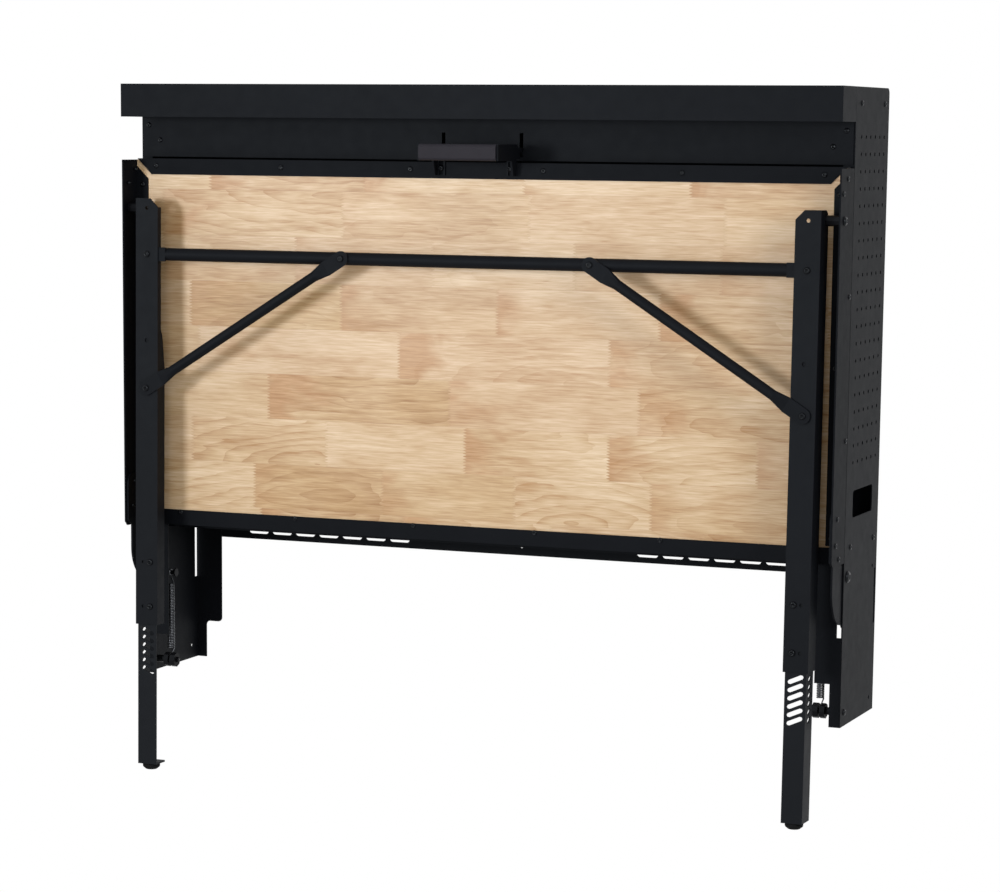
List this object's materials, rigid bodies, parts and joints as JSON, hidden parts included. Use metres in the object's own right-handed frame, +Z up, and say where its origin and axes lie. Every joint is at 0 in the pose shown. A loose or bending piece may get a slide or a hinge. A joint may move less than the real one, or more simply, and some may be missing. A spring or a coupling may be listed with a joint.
{
  "type": "wall mounted workbench",
  "caption": "Shallow black steel wall cabinet with pegboard sides and a wooden bench that folds down from its front on hinged, braced, extendable legs.",
  "frame": {"origin": "wall face of the bottom shelf's flange, half way along it, 245 mm above the foot of the side panels", "axes": "+X along the wall to the right as seen by the user, +Y into the wall, +Z up"},
  "size_m": [1.188, 0.29, 1.0999],
  "materials": {
    "coated_steel": "satin black powder coat",
    "black_fasteners": "black oxide",
    "zinc_steel": "zinc plated",
    "black_plastic": "matte",
    "black_rubber": "matte",
    "brass": "plain",
    "wood": "clear satin varnish",
    "grip_plastic": "fine texture"
  },
  "bodies": {
    "cabinet": {"left_side_panel": "coated_steel", "right_side_panel": "coated_steel", "top_panel": "coated_steel", "header_panel": "coated_steel", "bottom_shelf": "coated_steel", "back_panel": "coated_steel", "cabinet_screws": "black_fasteners", "hinge_bolts": "black_fasteners", "hinge_nuts": "black_fasteners", "springs": "zinc_steel", "spring_spools": "black_plastic", "anchor_bolts": "black_fasteners", "anchor_nuts": "black_fasteners", "anchor_spacers": "black_plastic"},
    "bench": {"bench_top": "wood", "front_rail": "coated_steel", "rear_rail": "coated_steel", "left_side_rail": "coated_steel", "right_side_rail": "coated_steel", "rail_screws": "black_fasteners", "left_hinge_plate": "coated_steel", "right_hinge_plate": "coated_steel", "hinge_bushes": "brass", "spring_studs": "black_fasteners", "pivot_spacers": "black_plastic", "leg_pivot_bolts": "black_fasteners", "leg_pivot_nuts": "black_fasteners", "latch_guide_bolts": "black_fasteners"},
    "latch": {"left_latch_arm": "coated_steel", "right_latch_arm": "coated_steel", "handle_grip": "grip_plastic", "grip_screws": "black_fasteners"},
    "leg_frame": {"left_leg": "coated_steel", "right_leg": "coated_steel", "cross_tube": "coated_steel", "left_brace": "coated_steel", "right_brace": "coated_steel", "frame_bolts": "black_fasteners", "frame_nuts": "black_fasteners", "leg_clamp_bolts": "black_fasteners", "leg_clamp_nuts": "black_fasteners"},
    "left_extension": {"left_leg_extension": "coated_steel", "left_foot_nut": "black_fasteners"},
    "left_levelling_foot": {"left_foot": "black_rubber"},
    "right_extension": {"right_leg_extension": "coated_steel", "right_foot_nut": "black_fasteners"},
    "right_levelling_foot": {"right_foot": "black_rubber"}
  },
  "joints": [
    {"name": "bench_fold", "type": "hinge", "parent": "cabinet", "child": "bench", "pos_m": [0, -0.1663, -0.017], "axis": [1, 0, 0], "range_deg": [0, 90], "deforming": ["springs"]},
    {"name": "leg_fold", "type": "hinge", "parent": "bench", "child": "leg_frame", "pos_m": [0, -0.2335, 0.5153], "axis": [1, 0, 0], "range_deg": [-89.1, 0]},
    {"name": "latch_slide", "type": "slide", "parent": "bench", "child": "latch", "axis": [0, 0, 1], "range_m": [-0.005, 0.006]},
    {"name": "left_leg_length", "type": "slide", "parent": "leg_frame", "child": "left_extension", "axis": [0, -0.0157, -0.9999], "range_m": [-0.025, 0.0375]},
    {"name": "left_foot_level", "type": "slide", "parent": "left_extension", "child": "left_levelling_foot", "axis": [0, -0.0157, -0.9999], "range_m": [0, 0.012]},
    {"name": "right_leg_length", "type": "slide", "parent": "leg_frame", "child": "right_extension", "axis": [0, -0.0157, -0.9999], "range_m": [-0.025, 0.0375]},
    {"name": "right_foot_level", "type": "slide", "parent": "right_extension", "child": "right_levelling_foot", "axis": [0, -0.0157, -0.9999], "range_m": [0, 0.012]}
  ],
  "couplings": [
    {"joint": "leg_fold", "follows": "bench_fold", "ratio": -0.99}
  ]
}
